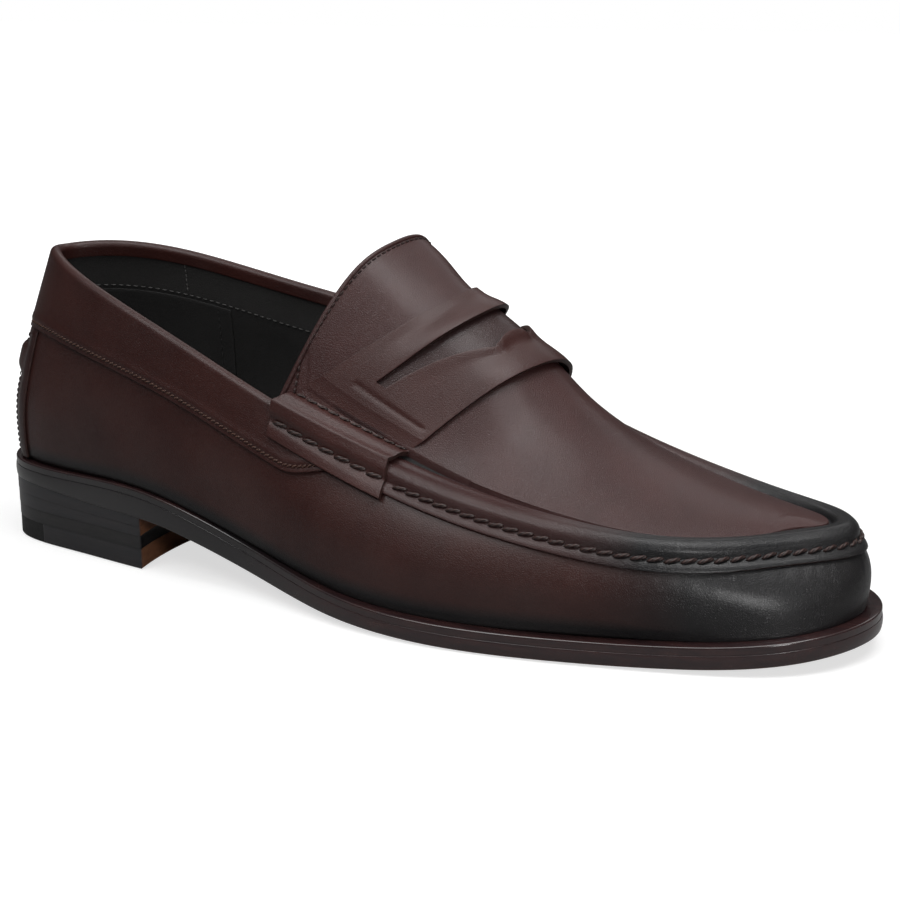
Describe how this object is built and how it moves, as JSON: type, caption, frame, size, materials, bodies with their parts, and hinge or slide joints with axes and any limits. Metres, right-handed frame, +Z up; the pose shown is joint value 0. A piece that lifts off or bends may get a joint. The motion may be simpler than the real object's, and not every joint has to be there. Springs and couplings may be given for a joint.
{
  "type": "penny loafer",
  "caption": "Slip-on leather shoe with a moccasin toe seam, a slotted strap across the instep, a stitched leather sole and a low stacked heel.",
  "frame": {"origin": "middle of the footprint, on the ground", "axes": "+X to the toe, +Y to the inner side of the foot, +Z up"},
  "size_m": [0.302, 0.1044, 0.1068],
  "materials": {
    "burgundy_leather": "semi-gloss, burnished, fine grain",
    "edge_black": "waxed dark edge, glossy",
    "heel_leather": "natural, sanded edge",
    "heel_fibre": "black, matt",
    "heel_rubber": "matt",
    "lining_leather": "matt, soft",
    "thread_dark": "waxed",
    "thread_rust": "waxed",
    "thread_natural": "waxed",
    "cork": "matt",
    "spring_steel": "satin",
    "nail_brass": "satin",
    "board": "matt",
    "foam": "matt",
    "stiffener": "matt"
  },
  "bodies": {
    "root": {"outsole": "edge_black", "midsole": "edge_black", "heel_top_piece": "heel_leather", "heel_rubber_tip": "heel_rubber", "heel_lift_3": "heel_fibre", "heel_lift_2": "heel_leather", "heel_lift_1": "heel_leather", "heel_nail_1": "nail_brass", "heel_nail_2": "nail_brass", "heel_nail_3": "nail_brass", "heel_nail_4": "nail_brass", "heel_nail_5": "nail_brass", "heel_nail_6": "nail_brass", "cork_filler": "cork", "shank": "spring_steel", "insole_board": "board", "heel_pad": "foam", "sock_liner": "lining_leather", "vamp_wall": "burgundy_leather", "collar": "burgundy_leather", "back_strap": "burgundy_leather", "heel_counter": "stiffener", "toe_puff": "stiffener", "quarter_lining": "lining_leather", "vamp_lining": "lining_leather", "apron": "burgundy_leather", "tongue_lining": "lining_leather", "saddle_strap": "burgundy_leather", "apron_seam_thread": "thread_dark", "collar_thread_lateral": "thread_rust", "collar_thread_medial": "thread_rust", "sole_stitch_thread": "thread_natural", "strap_thread_lateral_inner": "thread_dark", "strap_thread_lateral_outer": "thread_dark", "strap_thread_medial_inner": "thread_dark", "strap_thread_medial_outer": "thread_dark"}
  },
  "joints": []
}
